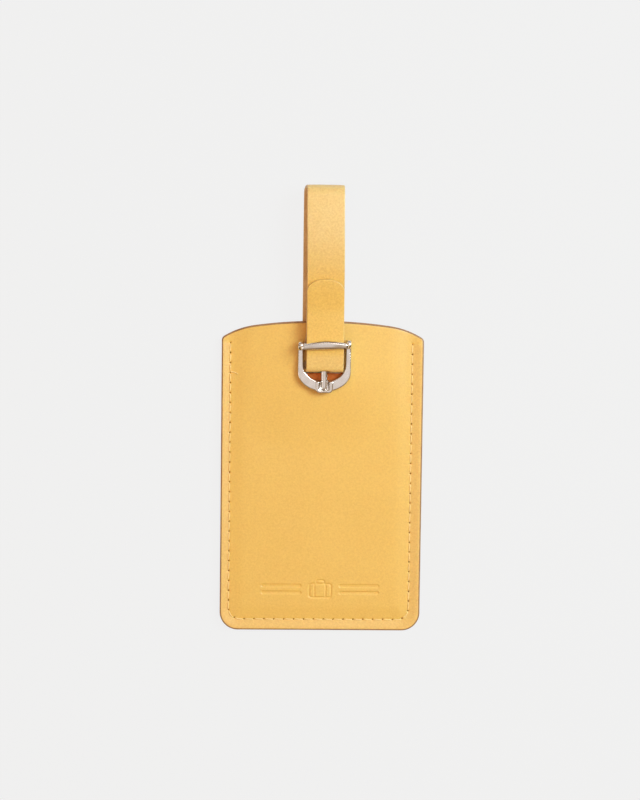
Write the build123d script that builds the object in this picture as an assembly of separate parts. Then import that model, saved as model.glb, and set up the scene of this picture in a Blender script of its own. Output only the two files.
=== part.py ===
"""Leather luggage tag with an open-topped card pocket and a buckled strap.

Millimetres. The tag lies on its back: +Z out of its face, +Y towards the strap's
top fold, +X to the right. Inside the functions y is counted from the middle of
the tag's top edge; export_node moves every piece so that the origin is below
the middle of the whole object, on the surface that the tag lies on.
"""
from build123d import *
from math import asin, cos, radians, sin, tan
import os

# Tag body
TAG_W = 72.0
TAG_H = 111.4
TOP_R = 172.0           # middle part of the curved top edge
SHOULDER_R = 29.6       # its two ends
SHOULDER_X = 24.0       # where the one turns into the other
TOP_CORNER_R = 1.8
LOW_CORNER_R = 6.5
LEATHER = 1.1           # thickness of both panels and of the strap
LINING = 0.25
BORDER = 5.0            # flat margin that the seam runs in
SLOPE_RUN = 5.5         # width of the slope between the margin and the raised face
POCKET_RISE = 2.25      # how far the face stands above the margin

# Window and card in the back
WINDOW_W = 46.0
WINDOW_H = 74.0
WINDOW_R = 3.0
WINDOW_Y = -62.7
FILM_LAP = 4.0          # the film laps the leather by this much all round
FILM_T = 0.15
CARD_W = 54.0
CARD_H = 96.0
CARD_T = 0.3
CARD_Z = 1.35
CARD_TOP_Y = -7.0
CARD_R = 2.5

# Seams
STITCH_PITCH = 3.55
STITCH_LEN = 2.7
STITCH_W = 0.55
STITCH_PROUD = 0.25
SEAM_LEFT = 3.1
SEAM_RIGHT = 4.1
SEAM_BOTTOM = 3.9
SEAM_TOP_Y = -8.0
SEAM_CORNER_R = 4.0
WINDOW_SEAM_GAP = 2.0   # from the window's edge to its seam

# Strap
STRAP_W = 13.2
STRAP_REACH = 48.1      # the top fold stands this far above the tag's top edge
BACK_LAYER_Z = 2.0      # underside of the layer that runs into the pocket
FOLD_Y = -17.9          # outermost point of the fold inside the buckle
LAYER_GAP = 0.15        # air between two layers that lie on each other
LOOP_CREST = (29.0, 11.9)   # y and z of the front layer's highest point
LOOP_END_Z = 11.0       # its height where the top fold starts
LOOP_R = (3.9, 4.2)     # the two halves of the top fold
FOLD_R = (4.2, 1.4)     # lower and upper bend of the fold in the buckle
TAIL_END_Y = 7.0
TAIL_BENDS_Y = (-3.4, -6.9)
BEND_Y = 4.0            # the front layer starts to rise here
RAMP_Y = -9.5
RAMP_DEG = 10.0
TIP_START_Y = -6.1
TIP_SPLIT_GAP = 0.3
TIP_END_Y = 15.2
TIP_ROUND = 4.1
SLOT_Y = (-18.45, -14.0)
FACE_SLOT_LOW = -20.9   # the slot in the face reaches further down than the one in the lining
SLOT_SIDE_GAP = 0.4
SLOT_CORNER_R = 0.9

# Buckle
PIN_Y = -8.3
PIN_R = 0.7
PIN_LEN = 18.2
WRAP_R = 1.35           # middle of the leather that wraps the pin
BUCKLE_W = 18.8
ARM_W = 1.83
ARM_BEND_Y = (-18.0, -15.1)     # outer and inner outline turn from straight to curved
BOW_DEPTH = (6.85, 6.3)         # depth of the outer and inner curve
FRAME_Z = (5.0, 7.1)
KNUCKLE_R = 1.6
EDGE_R = 0.45
KEEPER_HALF_IN = 7.05
KEEPER_HALF_OUT = 8.6
KEEPER_T = 1.5
KEEPER_CROWN = 0.25
KEEPER_Y = (-9.5, -6.45)
KEEPER_END_Y = -7.9
TOE_HALF_W = 3.1
TOE_Y = (-25.3, -21.5)
TOE_TOP_Z = 7.7
NOTCH_HALF_W = 1.75
NOTCH_Y = (-24.3, -20.0)
NOTCH_Z = 5.4
TANG_W = 2.1
TANG_T = 1.1
TANG_END_Y = -24.15
TANG_DROP_DEG = 2.9
TANG_TIP_T = 0.9
EYE_R = (0.75, 1.5)
EYE_SLOT = (3.4, 5.2)   # width and length of the slot in the wrapped leather
TANG_HOLE_W = 3.0
TANG_HOLE_Y = (-18.6, -14.5)
TANG_HOLE_Z = (5.45, 7.5)

# Worked out
BACK_TOP = LEATHER
LINING_TOP = BACK_TOP + LINING
MARGIN_TOP = LINING_TOP + LEATHER
FACE_Z = MARGIN_TOP + POCKET_RISE
PIN_Z = FACE_Z + LAYER_GAP + LEATHER / 2 + WRAP_R
FRONT_LAYER_Z = PIN_Z + WRAP_R
TIP_LAYER_Z = FRONT_LAYER_Z + LEATHER + LAYER_GAP
KEEPER_UNDER = TIP_LAYER_Z + LEATHER / 2 + LAYER_GAP
BACK_LAYER_MID = BACK_LAYER_Z + LEATHER / 2
FOLD_MID_Y = FOLD_Y + LEATHER / 2
TOP_MID_Y = STRAP_REACH - LEATHER / 2
LOOP_SLOPE = (LOOP_CREST[1] - FRONT_LAYER_Z) / (LOOP_CREST[0] - BEND_Y)
RAMP_Z = TIP_LAYER_Z - tan(radians(RAMP_DEG)) * (RAMP_Y - FOLD_MID_Y)
ORIGIN_Y = (STRAP_REACH - TAG_H) / 2
TALL = 40.0             # longer than any piece is thick, for cutting prisms


def export_node(name, shape):
    """Write one node, moved into the object's own frame."""
    moved = Pos(0, -ORIGIN_Y, 0) * shape
    export_step(moved, f"parts/{name}.step")


def box_between(x, y, z):
    """A box from its low and high limits along each axis."""
    size = (x[1] - x[0], y[1] - y[0], z[1] - z[0])
    middle = Pos((x[0] + x[1]) / 2, (y[0] + y[1]) / 2, (z[0] + z[1]) / 2)
    return middle * Box(*size)


def side_strip(path, width):
    """A band of leather: its side view is a path in (y, z), as wide as given in x."""
    side_view = Plane.YZ * trace(path, LEATHER)
    return extrude(side_view, amount=width / 2, both=True)


# ---------------------------------------------------------------- tag body
def shoulder_point(side, angle):
    """A point on a shoulder of the top edge, where its outward direction leans by angle."""
    turn = asin(SHOULDER_X / TOP_R)
    x = SHOULDER_X + SHOULDER_R * (sin(angle) - sin(turn))
    y = TOP_R * (cos(turn) - 1) - SHOULDER_R * (cos(turn) - cos(angle))
    return (side * x, y)


def tag_outline():
    half = TAG_W / 2
    turn = asin(SHOULDER_X / TOP_R)
    end = asin(sin(turn) + (half - SHOULDER_X) / SHOULDER_R)
    edges = []
    for side in (-1, 1):
        inner, middle, outer = (shoulder_point(side, a) for a in (turn, (turn + end) / 2, end))
        edges += [ThreePointArc(inner, middle, outer), Line(outer, (side * half, -TAG_H))]
    edges.append(ThreePointArc(shoulder_point(-1, turn), (0, 0), shoulder_point(1, turn)))
    edges.append(Line((-half, -TAG_H), (half, -TAG_H)))
    outline = make_face(edges)
    corners = outline.vertices().sort_by(Axis.Y)
    outline = fillet(corners[:2], LOW_CORNER_R)
    return fillet(outline.vertices().sort_by(Axis.Y)[-4:-2], TOP_CORNER_R)


def raised_block(low_z):
    """The swelling of the face: slopes up from the margin and runs out at the top edge."""
    over = 8.0
    width = TAG_W - 2 * BORDER
    height = TAG_H - BORDER + over
    foot = RectangleRounded(width, height, BORDER)
    crest = RectangleRounded(width - 2 * SLOPE_RUN, height - SLOPE_RUN, BORDER)
    middle = over - height / 2
    foot_at = Pos(0, middle, low_z) * foot
    crest_at = Pos(0, middle + SLOPE_RUN / 2, low_z + POCKET_RISE) * crest
    return loft([foot_at, crest_at], ruled=True)


def moulded_sheet(low_z, thickness, slot_low):
    """A sheet with a flat margin, a raised middle that is open at the top edge, and a slot."""
    margin = Pos(0, 0, low_z) * extrude(tag_outline(), amount=thickness)
    swelling = raised_block(low_z + thickness) & extrude(tag_outline(), amount=TALL)
    return margin + swelling - raised_block(low_z) - strap_slot(slot_low)


def strap_slot(low):
    width = STRAP_W + 2 * SLOT_SIDE_GAP
    opening = RectangleRounded(width, SLOT_Y[1] - low, SLOT_CORNER_R)
    return Pos(0, (low + SLOT_Y[1]) / 2, 0) * extrude(opening, amount=TALL)


def front_panel():
    return moulded_sheet(LINING_TOP, LEATHER, FACE_SLOT_LOW)


def front_lining():
    return moulded_sheet(BACK_TOP, LINING, SLOT_Y[0])


def back_panel():
    window = RectangleRounded(WINDOW_W, WINDOW_H, WINDOW_R)
    return extrude(tag_outline() - Pos(0, WINDOW_Y) * window, amount=LEATHER)


def window_film():
    film = RectangleRounded(WINDOW_W + 2 * FILM_LAP, WINDOW_H + 2 * FILM_LAP, WINDOW_R + 1)
    return Pos(0, WINDOW_Y, BACK_TOP) * extrude(film, amount=FILM_T)


def address_card():
    card = RectangleRounded(CARD_W, CARD_H, CARD_R)
    return Pos(0, CARD_TOP_Y - CARD_H / 2, CARD_Z) * extrude(card, amount=CARD_T)


# ---------------------------------------------------------------- seams
def stitches_along(path, top_z):
    """One small upright block of thread for each stitch, evenly spaced on a path."""
    count = round(path.length / STITCH_PITCH)
    block = extrude(SlotOverall(STITCH_LEN, STITCH_W), amount=top_z)
    row = []
    for number in range(count):
        at = (number + 0.5) / count
        spot = path @ at
        turn = (path % at).get_signed_angle(Vector(1, 0, 0), Vector(0, 0, -1))
        row.append(Pos(spot.X, spot.Y, 0) * Rot(0, 0, turn) * block)
    return Compound(children=row)


def seam_stitches():
    left = SEAM_LEFT - TAG_W / 2
    right = TAG_W / 2 - SEAM_RIGHT
    low = SEAM_BOTTOM - TAG_H
    corners = [(left, SEAM_TOP_Y), (left, low), (right, low), (right, SEAM_TOP_Y)]
    path = FilletPolyline(*corners, radius=SEAM_CORNER_R)
    return stitches_along(Wire(path.edges()), MARGIN_TOP + STITCH_PROUD)


def window_stitches():
    half_w = WINDOW_W / 2 + WINDOW_SEAM_GAP
    half_h = WINDOW_H / 2 + WINDOW_SEAM_GAP
    low = WINDOW_Y - half_h
    high = WINDOW_Y + half_h
    corners = [(-half_w, low), (half_w, low), (half_w, high), (-half_w, high)]
    path = FilletPolyline(*corners, radius=WINDOW_R, close=True)
    return stitches_along(Wire(path.edges()), BACK_TOP + FILM_T + LAYER_GAP / 2)


# ---------------------------------------------------------------- strap
def strap_path():
    """Side view (y, z): tail, round the pin, up to the top fold, down into the
    pocket, out through the slot in the face and up to the keeper."""
    tail_z = FRONT_LAYER_Z - LEATHER - 0.02
    low_z = PIN_Z - WRAP_R
    tail = FilletPolyline(
        (TAIL_END_Y, tail_z),
        (TAIL_BENDS_Y[0], tail_z),
        (TAIL_BENDS_Y[1], low_z),
        (PIN_Y, low_z),
        radius=[1.4, 1.4],
    )
    wrap = ThreePointArc((PIN_Y, low_z), (PIN_Y - WRAP_R, PIN_Z), (PIN_Y, FRONT_LAYER_Z))
    run = FilletPolyline(
        (PIN_Y, FRONT_LAYER_Z),
        (BEND_Y, FRONT_LAYER_Z),
        LOOP_CREST,
        (TOP_MID_Y, LOOP_END_Z),
        (TOP_MID_Y, BACK_LAYER_MID),
        (FOLD_MID_Y, BACK_LAYER_MID),
        (FOLD_MID_Y, RAMP_Z),
        (RAMP_Y, TIP_LAYER_Z),
        (TIP_START_Y - TIP_SPLIT_GAP, TIP_LAYER_Z),
        radius=[20.0, 60.0, LOOP_R[0], LOOP_R[1], FOLD_R[0], FOLD_R[1], 6.0],
    )
    return [tail, wrap, run]


def strap():
    """Everything but the free tip, with a slot for the tang's eye and the tang's hole."""
    tail, wrap, run = strap_path()
    band = side_strip(tail, STRAP_W) + side_strip(wrap, STRAP_W) + side_strip(run, STRAP_W)
    half = EYE_SLOT[0] / 2
    reach = (PIN_Y - EYE_SLOT[1] / 2, PIN_Y + EYE_SLOT[1] / 2)
    eye_slot = box_between((-half, half), reach, (FACE_Z, FRONT_LAYER_Z + LEATHER / 2 + LAYER_GAP / 2))
    half = TANG_HOLE_W / 2
    tang_hole = box_between((-half, half), TANG_HOLE_Y, TANG_HOLE_Z)
    return band - eye_slot - tang_hole


def strap_tip():
    """The free end above the keeper. It is the same band of leather as the strap."""
    rise = LOOP_SLOPE * (TIP_END_Y - BEND_Y)
    path = FilletPolyline(
        (TIP_START_Y, TIP_LAYER_Z),
        (BEND_Y, TIP_LAYER_Z),
        (TIP_END_Y, TIP_LAYER_Z + rise),
        radius=20.0,
    )
    full_y = TIP_END_Y - TIP_ROUND
    plan = Pos(0, (TIP_START_Y + full_y) / 2) * Rectangle(STRAP_W, full_y - TIP_START_Y)
    plan += Pos(0, full_y) * Ellipse(STRAP_W / 2, TIP_ROUND)
    return side_strip(path, STRAP_W) & extrude(plan, amount=TALL)


def tail_stitches():
    """Stitches that hold the folded-back tail to the front layer."""
    block = SlotOverall(STITCH_LEN, STITCH_W)
    low = FRONT_LAYER_Z - 1.5 * LEATHER - LAYER_GAP / 2
    high = FRONT_LAYER_Z + LEATHER / 2 + LAYER_GAP / 3
    row = []
    for x in (-4.5, -1.5, 1.5, 4.5):
        row.append(Pos(x, 1.5, low) * extrude(block, amount=high - low))
    return Compound(children=row)


# ---------------------------------------------------------------- buckle
def bow_outline(half_w, bend_y, depth):
    """Half of a long D: straight sides from the pin down, closed by half an ellipse."""
    sides = Pos(0, (PIN_Y + bend_y) / 2) * Rectangle(2 * half_w, PIN_Y - bend_y)
    return sides + Pos(0, bend_y) * Ellipse(half_w, depth)


def bow():
    outer = bow_outline(BUCKLE_W / 2, ARM_BEND_Y[0], BOW_DEPTH[0])
    inner = bow_outline(BUCKLE_W / 2 - ARM_W, ARM_BEND_Y[1], BOW_DEPTH[1])
    above = Pos(0, PIN_Y + TALL / 2) * Rectangle(TALL, TALL)
    ring = outer - inner - above
    plate = Pos(0, 0, FRAME_Z[0]) * extrude(ring, amount=FRAME_Z[1] - FRAME_Z[0])
    top_edges = plate.faces().sort_by(Axis.Z)[-1].outer_wire().edges()
    top_edges = top_edges.filter_by(lambda edge: edge.center().Y < PIN_Y - 0.01)
    return fillet(top_edges, EDGE_R)


def knuckles():
    """Round ends of the two arms, which hold the pin."""
    middle = (BUCKLE_W - ARM_W) / 2
    barrel = Rot(0, 90, 0) * Cylinder(KNUCKLE_R, ARM_W)
    ends = chamfer(barrel.edges().filter_by(GeomType.CIRCLE), EDGE_R / 2)
    return [Pos(side * middle, PIN_Y, PIN_Z) * ends for side in (-1, 1)]


def keeper():
    """Arched bar over the strap: a bridge seen from the end, tapered seen from above."""
    crown_z = KEEPER_UNDER + KEEPER_T
    side_z = crown_z - KEEPER_CROWN
    over = make_face([
        Line((-KEEPER_HALF_OUT, PIN_Z), (-KEEPER_HALF_OUT, side_z)),
        ThreePointArc((-KEEPER_HALF_OUT, side_z), (0, crown_z), (KEEPER_HALF_OUT, side_z)),
        Line((KEEPER_HALF_OUT, side_z), (KEEPER_HALF_OUT, PIN_Z)),
        Line((KEEPER_HALF_OUT, PIN_Z), (-KEEPER_HALF_OUT, PIN_Z)),
    ])
    over = fillet(over.vertices().sort_by(Axis.Y)[-2:], KEEPER_T)
    room = KEEPER_UNDER - PIN_Z + 2
    under = Pos(0, KEEPER_UNDER - room / 2) * Rectangle(2 * KEEPER_HALF_IN, room)
    bridge = extrude(Plane.XZ * (over - under), amount=TALL, both=True)
    low, high = KEEPER_Y
    left, right = (-KEEPER_HALF_OUT, KEEPER_END_Y), (KEEPER_HALF_OUT, KEEPER_END_Y)
    plan = make_face([
        Polyline(left, (-KEEPER_HALF_OUT, low), (KEEPER_HALF_OUT, low), right),
        ThreePointArc(right, (0, high), left),
    ])
    return bridge & extrude(plan, amount=TALL)


def toe():
    """Fork at the foot of the bow, with the notch that the tang's end lies in."""
    block = box_between((-TOE_HALF_W, TOE_HALF_W), TOE_Y, (FRAME_Z[0], TOE_TOP_Z))
    uprights = block.edges().filter_by(Axis.Z).sort_by(Axis.Y)[:2]
    block = fillet(uprights, 1.2)
    return chamfer(block.faces().sort_by(Axis.Z)[-1].edges(), EDGE_R / 2)


def buckle_frame():
    frame = bow() + toe()
    notch = box_between((-NOTCH_HALF_W, NOTCH_HALF_W), NOTCH_Y, (NOTCH_Z, TALL))
    frame -= notch
    for part in knuckles() + [keeper()]:
        frame += part
    bore = Pos(0, PIN_Y, PIN_Z) * Rot(0, 90, 0) * Cylinder(PIN_R, TALL)
    return frame - bore


def pivot_pin():
    pin = Rot(0, 90, 0) * Cylinder(PIN_R, PIN_LEN)
    return Pos(0, PIN_Y, PIN_Z) * chamfer(pin.edges().filter_by(GeomType.CIRCLE), 0.15)


def tang():
    """Eye round the pin, a shank that slopes down a little, and a thinner resting end."""
    run = PIN_Y - TANG_END_Y
    drop = sin(radians(TANG_DROP_DEG)) * run
    under_z = -drop - TANG_T / 2
    shank = make_face(Polyline(
        (0, TANG_T / 2),
        (0, -TANG_T / 2),
        (-run, under_z),
        (-run, under_z + TANG_TIP_T),
        (-run + 2.4, under_z + TANG_T + 0.1),
        close=True,
    ))
    side_view = shank + Circle(EYE_R[1]) - Circle(EYE_R[0])
    body = extrude(Plane.YZ * side_view, amount=TANG_W / 2, both=True)
    return Pos(0, PIN_Y, PIN_Z) * body


NODES = {
    "back_panel": back_panel,
    "window_film": window_film,
    "front_lining": front_lining,
    "front_panel": front_panel,
    "address_card": address_card,
    "seam_stitches": seam_stitches,
    "window_stitches": window_stitches,
    "strap": strap,
    "strap_tip": strap_tip,
    "tail_stitches": tail_stitches,
    "buckle_frame": buckle_frame,
    "pivot_pin": pivot_pin,
    "tang": tang,
}

os.makedirs("parts", exist_ok=True)
for node, make in NODES.items():
    export_node(node, make())
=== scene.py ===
"""Looks of the leather luggage tag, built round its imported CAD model.

The frame is in metres. Inside the builders everything is in millimetres, in the same frame: the tag
lies on its back, +Z out of its face, +Y towards the strap's top fold. Meshes shrink to metres in add_mesh.
"""
import math

import bmesh
import bpy
import numpy as np
from mathutils import Matrix, Vector, noise
from mathutils.geometry import delaunay_2d_cdt
from mathutils.kdtree import KDTree


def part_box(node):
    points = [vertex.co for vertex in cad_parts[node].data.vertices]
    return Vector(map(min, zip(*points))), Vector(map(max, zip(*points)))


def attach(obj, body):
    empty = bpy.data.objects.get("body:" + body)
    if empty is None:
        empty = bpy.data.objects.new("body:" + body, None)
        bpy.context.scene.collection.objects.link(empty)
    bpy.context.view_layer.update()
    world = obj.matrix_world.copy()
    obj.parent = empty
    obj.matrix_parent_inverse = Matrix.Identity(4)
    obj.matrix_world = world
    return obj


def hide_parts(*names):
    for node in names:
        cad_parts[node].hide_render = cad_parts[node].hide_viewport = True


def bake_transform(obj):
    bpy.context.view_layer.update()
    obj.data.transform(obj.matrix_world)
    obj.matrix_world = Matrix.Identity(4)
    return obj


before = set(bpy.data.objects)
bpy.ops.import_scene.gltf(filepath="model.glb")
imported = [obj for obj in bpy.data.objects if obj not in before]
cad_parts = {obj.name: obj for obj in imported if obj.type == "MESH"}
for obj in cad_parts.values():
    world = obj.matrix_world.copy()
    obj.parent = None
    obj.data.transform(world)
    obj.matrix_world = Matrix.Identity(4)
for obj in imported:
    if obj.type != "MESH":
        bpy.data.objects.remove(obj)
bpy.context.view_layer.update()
MM = 0.001


def span(node):
    """Lowest and highest corner of a CAD node, in millimetres."""
    low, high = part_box(node)
    return low / MM, high / MM


# ------------------------------------------------------------------ sizes, in millimetres
PANEL_LOW, PANEL_HIGH = span("front_panel")
BACK_LOW, BACK_HIGH = span("back_panel")
STRAP_LOW, STRAP_HIGH = span("strap")
TIP_END = span("strap_tip")[1].y
PIN_LOW, PIN_HIGH = span("pivot_pin")
FILM_LOW, FILM_HIGH = span("window_film")
BUCKLE_LOW, BUCKLE_HIGH = span("buckle_frame")

LEATHER = BACK_HIGH.z - BACK_LOW.z
HALF_W = PANEL_HIGH.x
TAG_TOP = PANEL_HIGH.y
TAG_H = PANEL_HIGH.y - PANEL_LOW.y
TOP_R = 172.0           # the curved top edge: its middle, its two shoulders, and where they meet
SHOULDER_R = 29.6
SHOULDER_X = 24.0
TOP_CORNER_R = 1.8
LOW_CORNER_R = 6.5
MARGIN_TOP = PANEL_LOW.z + LEATHER
FACE_RISE = PANEL_HIGH.z - MARGIN_TOP
LINING = PANEL_LOW.z - BACK_HIGH.z
FACE_LIFT = 0.42        # the face's level part above its margin
LIFT_RUN = 5.5          # from the seam to the level part
BULGE_RUN = 28.0        # reach of the bulge over the strap inside
EDGE_R = 0.52           # rounding of a burnished leather edge

SEAM_LEFT = 3.1
SEAM_RIGHT = 4.1
SEAM_BOTTOM = 3.9
SEAM_TOP = 8.0          # below the tag's top edge
SEAM_R = 4.0
PITCH = 3.55
THREAD_R = 0.19
NEEDLE_R = 0.22
WINDOW_SEAM_GAP = 2.0
FILM_LAP = 4.0
WINDOW_R = 3.0
SLOT = (-18.45, -14.0)  # the strap's slot, from the tag's top edge
# The lining shows through the face's longer slot below the strap's fold, where its deep russet is partly
# painted shade.
FACE_SLOT_LOW = -20.9   # the face's slot reaches further down than the lining's
SLOT_SIDE = 0.4
SLOT_R = 0.9
MOTIF_Y = -96.5         # middle of the pressed motif, from the tag's top edge
PRESS_DEPTH = 0.24
BORDER_RISE = 0.5       # the face's edge above its seam
LIP_SINK = 0.12         # the face dips this much at its slot
FACE_SINK = (0.05, 0.5)     # depths of a seam's groove and of its needle holes, in the face and in the back
BACK_SINK = (0.26, 0.3)
TIGHT = 0.01            # clearance between glued layers
FAR = 9.0               # a distance beyond any detail

STRAP_W = STRAP_HIGH.x - STRAP_LOW.x
PIN = (PIN_LOW + PIN_HIGH) / 2
WRAP_R = 1.35
LAYER_GAP = 0.15


def tag_y(offset):
    """The frame's y of a place counted from the middle of the tag's top edge."""
    return TAG_TOP + offset


TAG_BOX = (-HALF_W, tag_y(-TAG_H)), (HALF_W, TAG_TOP)
BULGE_BOX = (0, tag_y(-6.0)), (STRAP_W / 2 + 0.7, 13.0)     # the strap inside, from which the bulge falls
SHOULDER_TURN = math.asin(SHOULDER_X / TOP_R)
SHOULDER_MID = (SHOULDER_X - SHOULDER_R * math.sin(SHOULDER_TURN),
                tag_y(-TOP_R) + (TOP_R - SHOULDER_R) * math.cos(SHOULDER_TURN))


# ------------------------------------------------------------------ small maths
def smooth(edge0, edge1, x):
    t = np.clip((x - edge0) / (edge1 - edge0), 0, 1)
    return t * t * (3 - 2 * t)


def wobble(points, size, seed=0.0):
    """Soft random height between about -1 and 1, varying over this many millimetres."""
    return np.array([noise.noise((p[0] / size, p[1] / size, seed)) for p in points])


def box_distance(xy, centre, half, radius):
    """Signed distance to a rounded rectangle, negative inside."""
    q = np.abs(xy - np.array(centre)) - (np.array(half) - radius)
    outside = np.hypot(np.maximum(q[:, 0], 0), np.maximum(q[:, 1], 0))
    return outside + np.minimum(np.maximum(q[:, 0], q[:, 1]), 0) - radius


def rounded_path(points, radii, step):
    """Points every step along straight runs joined by tangent arcs."""
    pts = [np.array(p, float) for p in points]
    out = [pts[0]]

    def run_to(end):
        start = out[-1]
        count = max(1, int(round(np.linalg.norm(end - start) / step)))
        out.extend(start + (end - start) * k / count for k in range(1, count + 1))

    for before, corner, after, radius in zip(pts, pts[1:], pts[2:], radii):
        a = (before - corner) / np.linalg.norm(before - corner)
        b = (after - corner) / np.linalg.norm(after - corner)
        half = math.acos(np.clip(a @ b, -1, 1)) / 2
        if radius <= 0 or half > math.pi / 2 - 1e-4:
            run_to(corner)
            continue
        reach = radius / math.tan(half)
        centre = corner + (a + b) / np.linalg.norm(a + b) * radius / math.sin(half)
        run_to(corner + a * reach)
        first = corner + a * reach - centre
        sweep = math.pi - 2 * half
        if a[1] * b[0] - a[0] * b[1] < 0:
            sweep = -sweep
        count = max(2, int(math.ceil(abs(sweep) * radius / step)))
        for k in range(1, count + 1):
            t = sweep * k / count
            c, s = math.cos(t), math.sin(t)
            out.append(centre + np.array((c * first[0] - s * first[1], s * first[0] + c * first[1])))
    run_to(pts[-1])
    return np.array(out)


def path_length(path):
    return np.concatenate(([0], np.cumsum(np.linalg.norm(np.diff(path, axis=0), axis=1))))


def along(path, distance):
    """The point and unit direction at a distance along a path."""
    lengths = path_length(path)
    k = min(int(np.searchsorted(lengths, distance, side="right")) - 1, len(path) - 2)
    k = max(k, 0)
    step = path[k + 1] - path[k]
    size = np.linalg.norm(step)
    return path[k] + step * (distance - lengths[k]) / size, step / size


# ------------------------------------------------------------------ mesh building
def add_mesh(name, verts, faces, materials, face_material=None):
    """A mesh object from millimetre points, with outward normals."""
    mesh = bpy.data.meshes.new(name)
    mesh.from_pydata([tuple(float(c) * MM for c in v) for v in verts], [], faces)
    for material in materials:
        mesh.materials.append(material)
    if face_material is not None:
        mesh.polygons.foreach_set("material_index", face_material)
    bm = bmesh.new()
    bm.from_mesh(mesh)
    bmesh.ops.recalc_face_normals(bm, faces=bm.faces)
    loose = [v for v in bm.verts if not v.link_faces]
    bmesh.ops.delete(bm, geom=loose, context="VERTS")
    bm.to_mesh(mesh)
    bm.free()
    mesh.polygons.foreach_set("use_smooth", [True] * len(mesh.polygons))
    obj = bpy.data.objects.new(name, mesh)
    bpy.context.scene.collection.objects.link(obj)
    return obj


def loft(verts, faces, rings, cap=True):
    """Adds a skin over rings of points that all have the same count."""
    first, n = len(verts), len(rings[0])
    for ring in rings:
        verts.extend(ring)
    for k in range(len(rings) - 1):
        for s in range(n):
            a, t = first + k * n, (s + 1) % n
            faces.append((a + s, a + t, a + n + t, a + n + s))
    if cap:
        faces.append(tuple(first + s for s in reversed(range(n))))
        faces.append(tuple(first + (len(rings) - 1) * n + s for s in range(n)))


def round_over(inset, radius):
    """How far a rounded edge has dropped at this distance in from the outline."""
    left = max(radius - inset, 0.0)
    return radius - math.sqrt(radius * radius - left * left)


def tag_outline(inset):
    """The tag's outline, anticlockwise: a curved top with shoulders, and rounded corners."""
    turn, (side_x, side_y), side_r = SHOULDER_TURN, SHOULDER_MID, SHOULDER_R - inset
    half = HALF_W - inset
    corner = max(TOP_CORNER_R - inset, 0.3)
    low = LOW_CORNER_R - inset
    low_y = tag_y(-TAG_H) + inset
    fillet_x = half - corner
    fillet_y = side_y + math.sqrt((side_r - corner) ** 2 - (fillet_x - side_x) ** 2)
    lean = math.atan2(fillet_x - side_x, fillet_y - side_y)
    out = []

    def line(start, end, count):
        out.extend(np.array(start) + (np.array(end) - np.array(start)) * k / count for k in range(count))

    def arc(centre, radius, start, end, count):
        for k in range(count):
            t = start + (end - start) * k / count
            out.append(np.array(centre) + radius * np.array((math.cos(t), math.sin(t))))

    up = math.pi / 2
    line((-half + low, low_y), (half - low, low_y), 120)
    arc((half - low, low_y + low), low, -up, 0, 22)
    line((half, low_y + low), (half, fillet_y), 200)
    arc((fillet_x, fillet_y), corner, 0, up - lean, 8)
    arc((side_x, side_y), side_r, up - lean, up - turn, 30)
    arc((0, tag_y(-TOP_R)), TOP_R - inset, up - turn, up + turn, 100)
    arc((-side_x, side_y), side_r, up + turn, up + lean, 30)
    arc((-fillet_x, fillet_y), corner, up + lean, math.pi, 8)
    line((-half, fillet_y), (-half, low_y + low), 200)
    arc((-half + low, low_y + low), low, math.pi, 1.5 * math.pi, 22)
    return np.array(out)


def box_outline(centre, half, radius, outset):
    """A rounded rectangle grown by outset; each corner has the same number of points."""
    hx, hy = half[0] + outset, half[1] + outset
    r = radius + outset
    out = []
    for cx, cy, start in ((1, -1, -0.5), (1, 1, 0.0), (-1, 1, 0.5), (-1, -1, 1.0)):
        middle = np.array(centre) + np.array((cx * (hx - r), cy * (hy - r)))
        for k in range(9):
            t = math.pi * (start + 0.5 * k / 8)
            out.append(middle + r * np.array((math.cos(t), math.sin(t))))
    dense = []
    for p, q in zip(out, out[1:] + out[:1]):
        count = 24 if np.linalg.norm(q - p) > 1.5 * r else 1
        dense.extend(p + (q - p) * k / count for k in range(count))
    return np.array(dense)


def lattice(low, high, step, keep):
    """Points of a triangular grid in a box, where keep(points) is true."""
    rows = np.arange(low[1], high[1], step * 0.866)
    grid = []
    for n, y in enumerate(rows):
        xs = np.arange(low[0] + (n % 2) * step / 2, high[0], step)
        grid.append(np.column_stack((xs, np.full(len(xs), y))))
    grid = np.vstack(grid)
    return grid[keep(grid)]


def inside_outline(xy, inset):
    """True where a point is inside the tag's outline by at least inset."""
    over = 20.0             # the box reaches this far past the top, so that only its sides and foot count
    body = box_distance(xy, (0, tag_y(-TAG_H / 2) + over), (HALF_W, TAG_H / 2 + over), LOW_CORNER_R)
    x = np.abs(xy[:, 0])
    middle = np.hypot(x, xy[:, 1] - tag_y(-TOP_R)) - TOP_R
    right, up = np.maximum(x - SHOULDER_MID[0], 0), np.maximum(xy[:, 1] - SHOULDER_MID[1], 0)
    shoulder = np.hypot(right, up) - SHOULDER_R
    top = np.where(x < SHOULDER_X, middle, shoulder)
    return np.maximum(body, top) < -inset


def triangulate(loops, seeds, in_hole):
    """Triangles between closed loops and seed points. Returns points and index triples."""
    coords = [Vector(p) for loop in loops for p in loop] + [Vector(p) for p in seeds]
    edges, start = [], 0
    for loop in loops:
        edges += [(start + k, start + (k + 1) % len(loop)) for k in range(len(loop))]
        start += len(loop)
    points, _, tris, _, _, _ = delaunay_2d_cdt(coords, edges, [], 1, 1e-6, False)
    points = np.array([tuple(p) for p in points])
    middle = np.array([points[list(t)].mean(0) for t in tris])
    kept = ~in_hole(middle)
    return points, [t for t, k in zip(tris, kept) if k]


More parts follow.
